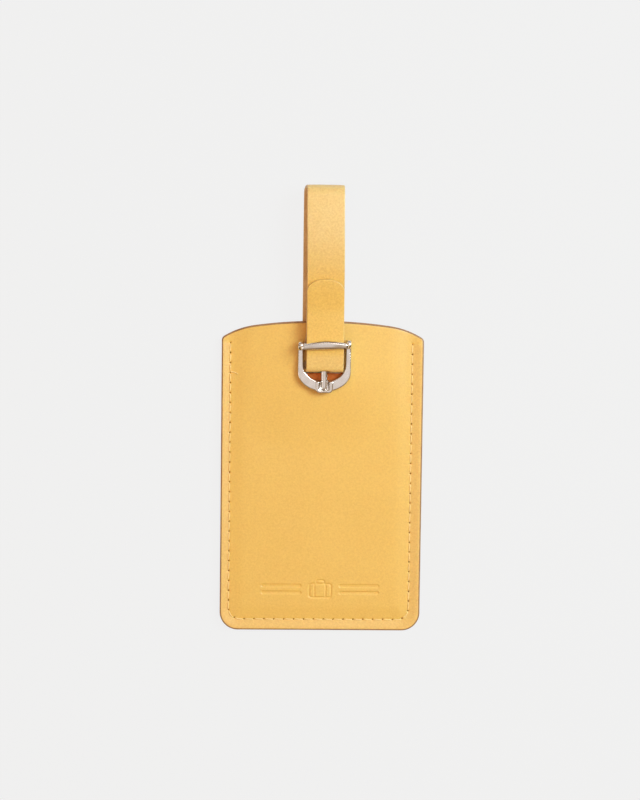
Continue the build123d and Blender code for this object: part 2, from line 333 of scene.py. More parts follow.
def leather_sheet(name, ring, hole_ring, in_hole, seeds, upper, lower, radius, materials):
    """A closed sheet with rounded edges. ring(inset) is its outline and hole_ring(outset) its hole's.
    upper and lower give the two surfaces' heights. seeds holds the inner points of each surface.
    materials start with the upper surface's, the edge's and the lower surface's."""
    insets = [radius * s for s in (0.0, 0.06, 0.25, 0.55, 1.0)]
    outlines = (ring, hole_ring)
    verts, faces, slots = [], [], []

    def put(points, heights):
        first = len(verts)
        verts.extend(np.column_stack((points, heights)))
        return list(range(first, len(verts)))

    def band(a, b):
        for k in range(len(a)):
            n = (k + 1) % len(a)
            faces.append((a[k], a[n], b[n], b[k]))
            slots.append(1)

    rims = {}               # outermost and innermost row of each surface, round each outline
    for side, surface, sign in ((0, upper, -1), (1, lower, 1)):
        for outline in outlines:
            rows = []
            for inset in insets:
                points = outline(inset)
                rows.append(put(points, surface(points) + sign * round_over(inset, radius)))
            for a, b in zip(rows, rows[1:]):
                band(a, b)
            rims[side, outline] = rows[0], rows[-1]
    for outline in outlines:
        band(rims[0, outline][0], rims[1, outline][0])
    loops = [outline(insets[-1]) for outline in outlines]
    for side, surface in ((0, upper), (1, lower)):
        points, tris = triangulate(loops, seeds[side], in_hole)
        index = [vertex for outline in outlines for vertex in rims[side, outline][1]]
        inner = points[len(index):]
        index += put(inner, surface(inner))
        faces.extend(tuple(index[v] for v in tri) for tri in tris)
        slots.extend([2 * side] * len(tris))
    return add_mesh(name, verts, faces, materials, slots)


RIM_CELLS = 2           # cells at each side of a strap that carry the edge ink


def slab(name, outer, inner, keep, materials):
    """A closed band from two grids of points. keep says which cells exist; the rest are holes."""
    n, m = keep.shape
    verts = list(outer.reshape(-1, 3)) + list(inner.reshape(-1, 3))
    shift = outer.shape[0] * outer.shape[1]

    def at(i, j):
        return i * outer.shape[1] + j

    faces, slots = [], []
    for i in range(n):
        for j in range(m):
            if not keep[i, j]:
                continue
            cell = (at(i, j), at(i + 1, j), at(i + 1, j + 1), at(i, j + 1))
            rim = j < RIM_CELLS or j >= m - RIM_CELLS
            faces.append(cell)
            slots.append(1 if rim else 0)
            faces.append(tuple(shift + v for v in reversed(cell)))
            slots.append(1 if rim else 2)
            around = ((i - 1, j, 3, 0), (i, j + 1, 2, 3), (i + 1, j, 1, 2), (i, j - 1, 0, 1))
            for a, b, p, q in around:
                if 0 <= a < n and 0 <= b < m and keep[a, b]:
                    continue
                faces.append((cell[p], cell[q], shift + cell[q], shift + cell[p]))
                slots.append(1)
    return add_mesh(name, verts, faces, materials, slots)


# ------------------------------------------------------------------ materials
def new_material(name, colour, roughness, **sockets):
    """A Principled material and its node tree."""
    material = bpy.data.materials.new(name)
    material.use_nodes = True
    tree = material.node_tree
    values = {"Base Color": (*colour, 1), "Roughness": roughness, **sockets}
    for socket, value in values.items():
        tree.nodes["Principled BSDF"].inputs[socket.replace("_", " ")].default_value = value
    return material, tree


def node(tree, kind, inputs=(), **settings):
    """A shader node with its settings, and inputs as values or as sockets to link."""
    made = tree.nodes.new(kind)
    for key, value in settings.items():
        setattr(made, key, value)
    for key, value in dict(inputs).items():
        if isinstance(value, bpy.types.NodeSocket):
            tree.links.new(value, made.inputs[key])
        else:
            made.inputs[key].default_value = value
    return made


def place(tree, scale=(1, 1, 1)):
    """Position on the object, in metres, scaled."""
    here = node(tree, "ShaderNodeTexCoord").outputs["Object"]
    return node(tree, "ShaderNodeMapping", {"Vector": here, "Scale": scale}).outputs["Vector"]


def blotches(tree, where, scale, detail, **more):
    """Soft noise at a position."""
    inputs = {"Vector": where, "Scale": scale, "Detail": detail, **more}
    return node(tree, "ShaderNodeTexNoise", inputs).outputs["Fac"]


def cell_distance(tree, where, scale, **settings):
    """Distance to the middle of the nearest of many random cells."""
    inputs = {"Vector": where, "Scale": scale, "Randomness": 1.0}
    return node(tree, "ShaderNodeTexVoronoi", inputs, **settings).outputs["Distance"]


def compute(tree, operation, *values):
    return node(tree, "ShaderNodeMath", enumerate(values), operation=operation).outputs[0]


def remap(tree, value, low, high, source=(0.0, 1.0), **settings):
    ends = {"Value": value, "From Min": source[0], "From Max": source[1], "To Min": low, "To Max": high}
    return node(tree, "ShaderNodeMapRange", ends, **settings).outputs["Result"]


def ramp(tree, value, stops):
    made = node(tree, "ShaderNodeValToRGB", {"Fac": value})
    elements = made.color_ramp.elements
    while len(elements) < len(stops):
        elements.new(0.5)
    for element, (position, colour) in zip(elements, stops):
        element.position = position
        element.color = (*colour, 1)
    return made.outputs["Color"]


def mix(tree, share, a, b, **settings):
    """Colour a with this share of colour b."""
    inputs = {"Factor": share, "A": a, "B": b}
    return node(tree, "ShaderNodeMix", inputs, data_type="RGBA", **settings).outputs["Result"]


def relief(tree, height, strength, depth):
    """The direction of a surface with this small relief on it."""
    inputs = {"Height": height, "Strength": strength, "Distance": depth}
    return node(tree, "ShaderNodeBump", inputs).outputs["Normal"]


def feed(tree, **sockets):
    """Links node outputs to the shader, each by the name of its input."""
    for name, socket in sockets.items():
        tree.links.new(socket, tree.nodes["Principled BSDF"].inputs[name.replace("_", " ")])


def shades(colour, spread):
    """A darker and a lighter version of a colour."""
    dark = tuple(c * (1 - spread) ** (1 + 0.6 * k) for k, c in enumerate(colour))
    light = tuple(min(1, c * (1 + spread) ** (1 + 0.4 * k)) for k, c in enumerate(colour))
    return dark, light


def grain_leather(name, colour, spread=0.06, roughness=0.46, gloss=0.6, pale=None):
    """Smooth full-grain leather: fine cells, pores, a cloudy tone and a soft sheen. A pale colour is
    painted sheen on the strap's loop crest, and painted light below the keeper."""
    material, tree = new_material(
        name, colour, roughness, Specular_IOR_Level=gloss, Subsurface_Weight=0.12, Subsurface_Scale=0.0008,
        Subsurface_Radius=(1.0, 0.38, 0.12),
    )
    where = place(tree)
    cloud = blotches(tree, where, 45.0, 2.0, Roughness=0.5, Distortion=0.2)
    mottle = blotches(tree, where, 1500.0, 4.0, Roughness=0.6)
    cells = cell_distance(tree, where, 2600.0, feature="SMOOTH_F1")
    pore = remap(tree, cell_distance(tree, where, 1150.0), 0.0, 1.0, (0.02, 0.16))
    dark, light = shades(colour, spread)
    tone = compute(tree, "ADD", remap(tree, cloud, -0.1, 0.1), mottle)
    tone = remap(tree, tone, 0.0, 1.0, (0.28, 0.72))
    base = ramp(tree, tone, [(0.0, dark), (0.5, colour), (1.0, light)])
    pores_and_sheen = mix(tree, remap(tree, pore, 0.16, 0.0), base, (*(c * 0.72 for c in colour), 1))
    # Painted sheen and painted light: the strap is made paler in bands along its length.
    if pale:
        along_y = node(tree, "ShaderNodeSeparateXYZ", {"Vector": where}).outputs["Y"]
        sheen_masks = [remap(tree, along_y, 0.0, most, (tag_y(start) * MM, tag_y(end) * MM),
                      interpolation_type="SMOOTHSTEP") for start, end, most in PAINTED_SHEEN_BANDS]
        tint = tuple(b / a for a, b in zip(colour, pale))
        lighter = mix(tree, 1.0, pores_and_sheen, (*tint, 1), blend_type="MULTIPLY")
        pores_and_sheen = mix(tree, compute(tree, "ADD", *sheen_masks), pores_and_sheen, lighter)
    height = compute(tree, "ADD", cells, remap(tree, mottle, 0.0, 0.9))
    height = compute(tree, "ADD", height, remap(tree, pore, -0.5, 0.0))
    rough = remap(tree, mottle, roughness - 0.07, roughness + 0.09, (0.3, 0.7))
    feed(tree, Base_Color=pores_and_sheen, Roughness=rough, Normal=relief(tree, height, 0.22, 0.00012))
    return material


def flesh_leather(name, colour):
    """The unfinished back of leather: short matt nap."""
    material, tree = new_material(name, colour, 0.92, Specular_IOR_Level=0.15, Sheen_Weight=0.25)
    where = place(tree)
    nap = blotches(tree, where, 2200.0, 6.0, Roughness=0.7)
    tone = compute(tree, "ADD", nap, blotches(tree, where, 160.0, 3.0))
    dark, light = shades(colour, 0.16)
    base = ramp(tree, remap(tree, tone, 0.0, 1.0, (0.7, 1.3)), [(0.0, dark), (1.0, light)])
    feed(tree, Base_Color=base, Normal=relief(tree, nap, 0.5, 0.0002))
    return material


def edge_leather(name, colour):
    """Cut edge, inked and burnished: fibres run along it, with lighter rubbed spots."""
    material, tree = new_material(name, colour, 0.42, Specular_IOR_Level=0.4, Coat_Weight=0.15)
    fibres = blotches(tree, place(tree, (1, 1, 3.2)), 1500.0, 4.0, Roughness=0.6)
    tone = compute(tree, "ADD", fibres, blotches(tree, place(tree), 260.0, 3.0))
    dark, light = shades(colour, 0.22)
    base = ramp(tree, remap(tree, tone, 0.0, 1.0, (0.7, 1.35)), [(0.0, dark), (0.6, colour), (1.0, light)])
    feed(tree, Base_Color=base, Normal=relief(tree, fibres, 0.35, 0.00015))
    return material


def needle_shade_material():
    """Inside of a needle hole: painted shade, dark with small flecks."""
    material, tree = new_material("needle_hole_painted_shade", NEEDLE_SHADE, 0.7, Specular_IOR_Level=0.2)
    dark, light = (tuple(c * share for c in NEEDLE_SHADE) for share in (0.6, 1.5))
    feed(tree, Base_Color=ramp(tree, blotches(tree, place(tree), 4000.0, 3.0), [(0.3, dark), (0.7, light)]))
    return material


def thread_material():
    """Waxed yellow thread: short bright fibres."""
    material, tree = new_material(
        "waxed_thread", (0.80, 0.47, 0.12), 0.48, Sheen_Weight=0.3, Specular_IOR_Level=0.5
    )
    fibre = blotches(tree, place(tree), 5200.0, 3.0, Roughness=0.6)
    stops = [(0.25, (0.86, 0.58, 0.20)), (0.55, (0.93, 0.68, 0.29)), (0.8, (0.97, 0.78, 0.40))]
    feed(tree, Base_Color=ramp(tree, fibre, stops), Normal=relief(tree, fibre, 0.5, 0.00008))
    return material


def metal_material():
    """Polished nickel: a warm grey mirror with faint polishing marks and small wear."""
    material, tree = new_material("polished_nickel", (0.80, 0.765, 0.73), 0.13, Metallic=1.0)
    haze = blotches(tree, place(tree), 420.0, 5.0)
    lines = blotches(tree, place(tree, (1, 9, 1)), 1500.0, 3.0, Roughness=0.7)
    base = ramp(tree, haze, [(0.3, (0.84, 0.79, 0.75)), (0.7, (0.93, 0.89, 0.86))])
    feed(tree, Base_Color=base, Roughness=remap(tree, haze, 0.09, 0.22, (0.35, 0.7)),
         Normal=relief(tree, lines, 0.06, 0.00005))
    return material


def film_material():
    """Clear flexible film with faint haze and handling marks."""
    material, tree = new_material(
        "clear_film", (0.95, 0.97, 0.98), 0.06, Transmission_Weight=1.0, IOR=1.3, Alpha=0.35
    )
    marks = blotches(tree, place(tree, (1, 4, 1)), 140.0, 5.0, Roughness=0.6)
    feed(tree, Roughness=remap(tree, marks, 0.03, 0.2, (0.4, 0.75)), Normal=relief(tree, marks, 0.1, 0.0004))
    return material


def card_material():
    """Matt card with paper fibre and plain ruled lines for an address."""
    paper = (0.90, 0.885, 0.84)
    line_gap, line_width, line_reach = 0.009, 0.00035, 0.019     # in metres
    material, tree = new_material("ruled_card", paper, 0.78, Specular_IOR_Level=0.25)
    where = place(tree)
    axes = node(tree, "ShaderNodeSeparateXYZ", {"Vector": where}).outputs
    pulp = blotches(tree, where, 1500.0, 5.0)
    base = ramp(tree, pulp, [(0.3, (0.86, 0.84, 0.79)), (0.7, paper)])
    row = compute(tree, "FLOORED_MODULO", axes["Y"], line_gap)
    on_line = compute(tree, "LESS_THAN", row, line_width)
    within = compute(tree, "LESS_THAN", compute(tree, "ABSOLUTE", axes["X"]), line_reach)
    ruled = mix(tree, compute(tree, "MULTIPLY", on_line, within), base, (0.30, 0.29, 0.28, 1))
    feed(tree, Base_Color=ruled, Normal=relief(tree, pulp, 0.2, 0.00008))
    return material


# Bands of painted sheen and painted light on the strap: paler on the loop's crest and below the keeper.
PAINTED_SHEEN_BANDS = ((8.0, 33.0, 1.0), (-10.0, -13.0, 0.6))     # from, to (from the tag's top edge) and how much
HONEY = (0.797, 0.488, 0.112)
# The margin's paler, less saturated colour is painted sheen: the border outside the seam catching the light.
MARGIN_SHEEN = (0.800, 0.495, 0.143)
TAN = (0.72, 0.52, 0.31)
INK = (0.36, 0.19, 0.075)
# Colour of the painted shade inside the needle holes.
NEEDLE_SHADE = (0.22, 0.10, 0.022)
GRAIN = grain_leather("honey_leather", HONEY)
MARGIN_SHEEN_GRAIN = grain_leather("margin_painted_sheen", MARGIN_SHEEN, 0.08)
# The strap's pale colour is its painted sheen.
STRAP_GRAIN = grain_leather("strap_leather", (0.778, 0.468, 0.100), 0.10, 0.42, pale=(0.805, 0.545, 0.208))
FLESH = flesh_leather("flesh_side", TAN)
EDGE = edge_leather("inked_edge", INK)
STRAP_EDGE = edge_leather("natural_edge", (0.74, 0.52, 0.22))
NEEDLE_HOLE_SHADE = needle_shade_material()
THREAD = thread_material()
METAL = metal_material()


# ------------------------------------------------------------------ seams
def seam_box():
    """Centre and half size of the rounded box that the edge seam follows; its top is far away."""
    left, right = SEAM_LEFT - HALF_W, HALF_W - SEAM_RIGHT
    low, high = tag_y(SEAM_BOTTOM - TAG_H), tag_y(TAG_H)
    return ((left + right) / 2, (low + high) / 2), ((right - left) / 2, (high - low) / 2)


def window_box(grown):
    """Centre and half size of the back's window, grown by this much."""
    centre = ((FILM_LOW.x + FILM_HIGH.x) / 2, (FILM_LOW.y + FILM_HIGH.y) / 2)
    half = ((FILM_HIGH.x - FILM_LOW.x) / 2 - FILM_LAP, (FILM_HIGH.y - FILM_LOW.y) / 2 - FILM_LAP)
    return centre, (half[0] + grown, half[1] + grown)


def seam_path():
    (cx, cy), (hx, hy) = SEAM_BOX
    top = tag_y(-SEAM_TOP)
    corners = [(cx - hx, top), (cx - hx, cy - hy), (cx + hx, cy - hy), (cx + hx, top)]
    return rounded_path(corners, [SEAM_R] * 2, PATH_STEP)


def window_path():
    (cx, cy), (hx, hy) = WINDOW_SEAM_BOX
    start = (cx, cy - hy)
    corners = [(cx + a * hx, cy + b * hy) for a, b in ((1, -1), (1, 1), (-1, 1), (-1, -1))]
    return rounded_path([start, *corners, start], [WINDOW_R] * 4, PATH_STEP)


def needle_holes(path):
    total = path_length(path)[-1]
    count = round(total / PITCH)
    return [along(path, total * k / count) for k in range(count + 1)]


def hole_tree(path):
    holes = needle_holes(path)
    tree = KDTree(len(holes))
    for k, (spot, _) in enumerate(holes):
        tree.insert((spot[0], spot[1], 0), k)
    tree.balance()
    return tree


PATH_STEP = 0.4
SEAM_BOX = seam_box()
WINDOW_BOX, WINDOW_SEAM_BOX = window_box(0.0), window_box(WINDOW_SEAM_GAP)
SEAM_HOLES = hole_tree(seam_path())
WINDOW_HOLES = hole_tree(window_path())
GROOVE_W = 0.55         # reach of a seam's groove, and of a needle hole's pucker and of the hole itself
PUCKER_W = 0.9
HOLE_W = 0.28
PUCKER = 0.04


def seam_inside(xy):
    """Distance in from the edge seam, negative in the margin."""
    return -box_distance(xy, *SEAM_BOX, SEAM_R)


def seam_fade(xy):
    """1 along the edge seam and 0 above its two top ends."""
    return smooth(tag_y(-SEAM_TOP + 1.2), tag_y(-SEAM_TOP - 0.6), xy[:, 1])


def window_line(xy):
    """Distance to the window's seam."""
    return np.abs(box_distance(xy, *WINDOW_SEAM_BOX, WINDOW_R))


def seam_sink(xy, tree, line_distance, end_fade, depth, hole_depth):
    """How far a seam pulls the leather down: a groove, its needle holes and soft puckers."""
    holes = np.array([tree.find((x, y, 0))[2] for x, y in xy])
    groove = depth * np.exp(-(line_distance / GROOVE_W) ** 2)
    pull = PUCKER * np.exp(-(holes / PUCKER_W) ** 2) + hole_depth * np.exp(-(holes / HOLE_W) ** 2)
    return groove * end_fade + pull


def paint_margin(obj, slot):
    """Gives the face's margin, outside the seam, another material: the paler leather that is its painted
    sheen.
    """
    middles = np.array([polygon.center for polygon in obj.data.polygons]) / MM
    outside = seam_inside(middles[:, :2]) < 0
    for polygon, out in zip(obj.data.polygons, outside):
        if out and polygon.material_index == 0 and polygon.center.y / MM < tag_y(-SEAM_TOP):
            polygon.material_index = slot


def open_holes(obj, tree, slot, facing):
    """Gives the faces in the needle holes, on the side that faces this way, another material: the holes'
    painted shade.
    """
    for polygon in obj.data.polygons:
        x, y, _ = polygon.center / MM
        if polygon.normal.z * facing > 0 and tree.find((x, y, 0))[2] < NEEDLE_R:
            polygon.material_index = slot


def stitch_row(verts, faces, path, height, up, radius=THREAD_R, dive=0.42):
    """Adds one twisted strand for each stitch, from needle hole to needle hole."""
    rings, sides, slant = 13, 9, 0.12
    count = len(needle_holes(path)) - 1
    gap = path_length(path)[-1] / count
    run = gap - 2 * NEEDLE_R
    for number in range(count):
        start = number * gap + NEEDLE_R
        jitter = 0.05 * noise.noise((number * 1.7, height, 3.0))
        strand = []
        for k in range(rings):
            t = k / (rings - 1)
            spot, way = along(path, start + run * t)
            side = np.array((-way[1], way[0]))
            arch = math.sin(math.pi * t)
            lift = radius * 0.4 * arch ** 0.5 - dive * (1 - arch) ** 3
            middle = spot + side * (slant * (1 - 2 * t) + jitter)
            ring = []
            for s in range(sides):
                turn = 2 * math.pi * s / sides
                lobe = 1 + 0.13 * math.cos(2 * (turn + 2.6 * t * math.pi))
                size = radius * (0.66 + 0.34 * arch ** 0.6) * lobe
                flat = middle + side * size * math.cos(turn)
                ring.append((flat[0], flat[1], height + up * (lift + size * 0.86 * math.sin(turn))))
            strand.append(ring)
        loft(verts, faces, strand)


# ------------------------------------------------------------------ tag body
def swell(xy):
    """Height of the face above its margin: level inside a short rise, and higher over the strap."""
    inside = seam_inside(xy)
    level = FACE_LIFT * smooth(0.0, LIFT_RUN, inside)
    strap = box_distance(xy, *BULGE_BOX, 1.0)
    near = 0.35 * smooth(BULGE_RUN, 0.0, strap) + 0.65 * np.clip(1 - strap / BULGE_RUN, 0, 1)
    bulge = (FACE_RISE - FACE_LIFT) * near * smooth(0.0, 8.0, inside)
    return level + bulge, inside


def motif_distance(xy):
    """Signed distance to a plain pressed-in motif: a small case between two pairs of bars."""
    near = xy - np.array((0.0, tag_y(MOTIF_Y)))
    body = np.abs(box_distance(near, (0, -0.5), (3.9, 2.45), 0.9)) - 0.3
    handle = np.abs(box_distance(near, (0, 2.3), (1.35, 0.95), 0.5)) - 0.28
    handle = np.where(near[:, 1] < 2.2, FAR, handle)
    ribs = np.abs(np.abs(near[:, 0]) - 2.0) - 0.22
    ribs = np.maximum(ribs, box_distance(near, (0, -0.5), (3.9, 2.4), 0.8))
    out = np.minimum(np.minimum(body, handle), ribs)
    reach = 7.2
    for side in (-1, 1):
        for lift in (1.25, -1.25):
            out = np.minimum(out, box_distance(near, (side * (6.8 + reach), lift), (reach, 0.55), 0.5))
    return out


def face_top(xy):
    """Top of the face: a border that rises from the seam to the edge, and the pillow inside it."""
    rise, inside = swell(xy)
    fade = seam_fade(xy)
    border = BORDER_RISE * smooth(0.2, 3.4, np.clip(-inside, 0, None)) * (0.35 + 0.65 * fade)
    press = -PRESS_DEPTH * smooth(0.16, -0.14, motif_distance(xy))
    lip = -LIP_SINK * smooth(2.5, 0.0, box_distance(xy, *slot_box(FACE_SLOT_LOW), SLOT_R))
    drift = (0.06 * wobble(xy, 23.0) + 0.022 * wobble(xy, 7.0, 4.0)) * smooth(0.0, 6.0, inside)
    z = MARGIN_TOP + rise + border + press + lip + drift
    return z - seam_sink(xy, SEAM_HOLES, np.abs(inside), fade, *FACE_SINK)


def face_under(xy):
    rise, inside = swell(xy)
    return PANEL_LOW.z + rise + 0.05 * smooth(1.0, 6.0, inside)


def back_outer(xy):
    """Outer surface of the back: it lies on z = 0, and only its seams are sunk."""
    edge = seam_sink(xy, SEAM_HOLES, np.abs(seam_inside(xy)), seam_fade(xy), *BACK_SINK)
    window = seam_sink(xy, WINDOW_HOLES, window_line(xy), np.ones(len(xy)), *BACK_SINK)
    return BACK_LOW.z + 0.02 + edge + window


def back_inner(xy):
    return np.full(len(xy), BACK_HIGH.z - TIGHT)


def slot_box(low):
    """Centre and half size of a slot for the strap that reaches down to low."""
    return (0, tag_y((low + SLOT[1]) / 2)), (STRAP_W / 2 + SLOT_SIDE, (SLOT[1] - low) / 2)


def opening(box, radius):
    """The outline of a rounded opening grown by an outset, and a test for points within a margin."""
    def ring(outset):
        return box_outline(*box, radius, outset)

    def covers(xy, margin=0.0):
        return box_distance(xy, *box, radius) < margin
    return ring, covers


slot_ring, in_slot = opening(slot_box(SLOT[0]), SLOT_R)
face_slot_ring, in_face_slot = opening(slot_box(FACE_SLOT_LOW), SLOT_R)
window_ring, in_window = opening(WINDOW_BOX, WINDOW_R)


def open_seeds(step, in_hole):
    """Inner points of a plain surface."""
    return lattice(*TAG_BOX, step, lambda xy: inside_outline(xy, EDGE_R + 0.4) & ~in_hole(xy, 0.8))


def zoned_seeds(zone, steps, in_hole):
    """Inner points of a detailed surface: zone(points) numbers the zones, and each has its own step."""
    def keep_for(number):
        return lambda xy: inside_outline(xy, EDGE_R + 0.25) & ~in_hole(xy, 0.75) & (zone(xy) == number)
    return np.vstack([lattice(*TAG_BOX, step, keep_for(number)) for number, step in enumerate(steps)])


def seam_line(xy):
    """Distance to the edge seam, and far away above its ends."""
    return np.where(xy[:, 1] > tag_y(-SEAM_TOP) + 1.5, FAR, np.abs(seam_inside(xy)))


def face_zone(xy):
    """0 along the seam and in the motif's edges, 1 round them, 2 elsewhere."""
    seam, motif = seam_line(xy), motif_distance(xy)
    fine = (seam < 1.15) | (np.abs(motif) < 0.38)
    near = (seam < 3.2) | (motif < 1.0)
    return np.where(fine, 0, np.where(near, 1, 2))


def back_zone(xy):
    """0 along both seams, 1 round them, 2 elsewhere."""
    return np.digitize(np.minimum(seam_line(xy), window_line(xy)), (1.1, 3.0))


def make_face():
    """Front panel: the moulded leather face with its slot, seam and pressed motif."""
    seeds = (zoned_seeds(face_zone, (0.2, 0.42, 1.1), in_face_slot), open_seeds(2.2, in_face_slot))
    face = leather_sheet(
        "leather_face", tag_outline, face_slot_ring, in_face_slot, seeds, face_top, face_under, EDGE_R,
        [GRAIN, EDGE, FLESH, NEEDLE_HOLE_SHADE, MARGIN_SHEEN_GRAIN],
    )
    paint_margin(face, 4)
    open_holes(face, SEAM_HOLES, 3, 1)
    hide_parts("front_panel")
    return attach(face, "tag")


def make_lining():
    """Thin lining glued inside the face. Its deep russet colour is partly painted shade: it shows in the
    face's slot below the strap's fold.
    """
    # Deep russet: partly the lining's own colour, partly painted shade for the slot below the fold.
    tan = grain_leather("lining_painted_shade", (0.62, 0.17, 0.035), 0.1, 0.65, gloss=0.15)
    seeds = (open_seeds(2.2, in_slot), open_seeds(2.2, in_slot))
    lining = leather_sheet(
        "lining_painted_shade", tag_outline, slot_ring, in_slot, seeds,
        lambda xy: face_under(xy) - TIGHT, lambda xy: face_under(xy) - LINING, 0.1, [tan, tan, tan],
    )
    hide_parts("front_lining")
    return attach(lining, "tag")


def make_back():
    """Back panel: leather with a window cut in it. Its grain side faces out, down."""
    seeds = (open_seeds(2.4, in_window), zoned_seeds(back_zone, (0.24, 0.5, 1.4), in_window))
    back = leather_sheet(
        "leather_back", tag_outline, window_ring, in_window, seeds, back_inner, back_outer, EDGE_R,
        [FLESH, EDGE, GRAIN, NEEDLE_HOLE_SHADE],
    )
    open_holes(back, SEAM_HOLES, 3, -1)
    open_holes(back, WINDOW_HOLES, 3, -1)
    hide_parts("back_panel")
    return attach(back, "tag")


def thread_end(verts, faces, start, way):
    """A short loose end of thread lying on the face beside the seam."""
    rings, sides, run, radius = 12, 7, 2.7, 0.23
    way = np.array(way)
    side = np.array((-way[1], way[0]))
    strand = []
    for k in range(rings):
        t = k / (rings - 1)
        middle = start + way * run * t + side * (0.5 * math.sin(2.4 * t))
        height = float(face_top(middle[None, :])[0])
        size = radius * (1 - 0.45 * t)
        ring = []
        for s in range(sides):
            turn = 2 * math.pi * s / sides
            flat = middle + side * size * math.cos(turn)
            ring.append((flat[0], flat[1], height + 0.12 + 0.2 * t * t + size * math.sin(turn)))
        strand.append(ring)
    loft(verts, faces, strand)


BACK_THREAD_Z = BACK_LOW.z + 0.42      # sunk in the back's grooves
LOOSE_END = 10.4        # along the seam, where a thread end sticks out


def make_seams():
    """Threads of the edge seam and of the window's seam, each seen on both faces."""
    verts, faces = [], []
    path = seam_path()
    stitch_row(verts, faces, path, MARGIN_TOP - 0.02, 1)
    stitch_row(verts, faces, path, BACK_THREAD_Z, -1, dive=0.2)
    spot, _ = along(path, LOOSE_END)
    thread_end(verts, faces, spot + np.array((0.2, 0)), (0.9, -0.43))
    seam = add_mesh("edge_seam_thread", verts, faces, [THREAD])
    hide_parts("seam_stitches")
    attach(seam, "tag")
    verts, faces = [], []
    path = window_path()
    stitch_row(verts, faces, path, BACK_THREAD_Z, -1, dive=0.2)
    stitch_row(verts, faces, path, FILM_HIGH.z - 0.18, 1, radius=0.2, dive=0.3)
    seam = add_mesh("window_seam_thread", verts, faces, [THREAD])
    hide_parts("window_stitches")
    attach(seam, "tag")


# ------------------------------------------------------------------ strap
FRONT_Z = PIN.z + WRAP_R
TIP_Z = FRONT_Z + LEATHER + LAYER_GAP
BACK_Z = STRAP_LOW.z + LEATHER / 2
TOP_Y = STRAP_HIGH.y - LEATHER / 2
CREST = (tag_y(29.0), 11.9)
LOOP_END_Z = 11.0
BEND_Y = tag_y(4.0)
FOLD_Y = STRAP_LOW.y + LEATHER / 2
RAMP_Y = tag_y(-9.5)
RAMP_DEG = 10.0
SPLIT_Y = tag_y(-8.0)   # under the keeper, where the free end starts
TIP_ROUND = 4.1
FRONT_BEND_R = 20.0     # where the front layer starts to rise towards its crest
STRAP_EDGE_R = 0.3
BACK_SHIFT = -0.80      # the strap's layers lie a little off the tag's middle: the back one, the front
FRONT_SHIFT = 0.55      # one at the keeper, and the front one at the top fold
TOP_SHIFT = 0.15
EYE_HALF, EYE_REACH = 1.75, 2.6     # opening in the fold for the prong's eye
HOLE_HALF, HOLE_Z = 1.65, (5.45, 7.6)   # opening in the front layer for its shank


def strap_centre():
    """Side view (y, z): tail, round the pin, top fold, pocket, slot, and up to the keeper."""
    tail_z = FRONT_Z - LEATHER - 0.02
    low_z = PIN.z - WRAP_R
    ramp_z = TIP_Z - math.tan(math.radians(RAMP_DEG)) * (RAMP_Y - FOLD_Y)
    side = PIN.y - WRAP_R
    points = [
        (tag_y(7.0), tail_z), (tag_y(-3.4), tail_z), (tag_y(-6.9), low_z), (side, low_z),
        (side, FRONT_Z), (BEND_Y, FRONT_Z), CREST, (TOP_Y, LOOP_END_Z), (TOP_Y, BACK_Z),
        (FOLD_Y, BACK_Z), (FOLD_Y, ramp_z), (RAMP_Y, TIP_Z), (SPLIT_Y, TIP_Z),
    ]
    radii = [1.4, 1.4, 1.349, 1.349, FRONT_BEND_R, 60.0, 3.9, 4.2, 4.2, 1.4, 6.0]
    return rounded_path(points, radii, 0.33)


def strap_columns():
    """Places across the strap: close together where the edges round over."""
    half = STRAP_W / 2
    edge = [0.0, 0.03, 0.10, 0.20, 0.34, 0.6]
    inner = list(np.linspace(-half + 1.5, half - 1.5, 13))
    return np.array([-half + e for e in edge] + inner + [half - e for e in reversed(edge)])


def edge_share(distance):
    """Thickness at this distance from a rounded edge, as a share of the whole."""
    left = np.clip(1 - distance / STRAP_EDGE_R, 0, 1)
    return 1 - (STRAP_EDGE_R * (1 - np.sqrt(1 - left * left))) / (LEATHER / 2)


def layer_shift(y, z):
    """How far to the side the strap lies here: its layers aren't quite one above the other."""
    front = FRONT_SHIFT + (TOP_SHIFT - FRONT_SHIFT) * smooth(tag_y(0.0), tag_y(44.0), y)
    return BACK_SHIFT + (front - BACK_SHIFT) * smooth(3.0, 8.0, z)


def band_grids(path, columns, distance, before=0.0):
    """Outer and inner points of a leather band that follows a side-view path. before is the length
    of strap that comes ahead of it."""
    way = np.gradient(path, axis=0)
    way /= np.linalg.norm(way, axis=1)[:, None]
    normal = np.column_stack((-way[:, 1], way[:, 0]))
    lengths = path_length(path) + before
    outer = np.zeros((len(path), columns.shape[1], 3))
    inner = outer.copy()
    for i, (centre, up) in enumerate(zip(path, normal)):
        shift = float(layer_shift(*centre))
        for j, x in enumerate(columns[i]):
            share = float(edge_share(distance[i, j]))
            crown = 0.07 * (1 - (2 * x / STRAP_W) ** 2)
            drift = 0.05 * noise.noise((x / 5.0, lengths[i] / 6.0, 1.0))
            wander = 0.06 * noise.noise((lengths[i] / 24.0, 1.0, 0.5)) + shift
            top = LEATHER / 2 * share + (crown + drift) * share
            low = -LEATHER / 2 * share
            outer[i, j] = (x + wander, centre[0] + up[0] * top, centre[1] + up[1] * top)
            inner[i, j] = (x + wander, centre[0] + up[0] * low, centre[1] + up[1] * low)
    return outer, inner


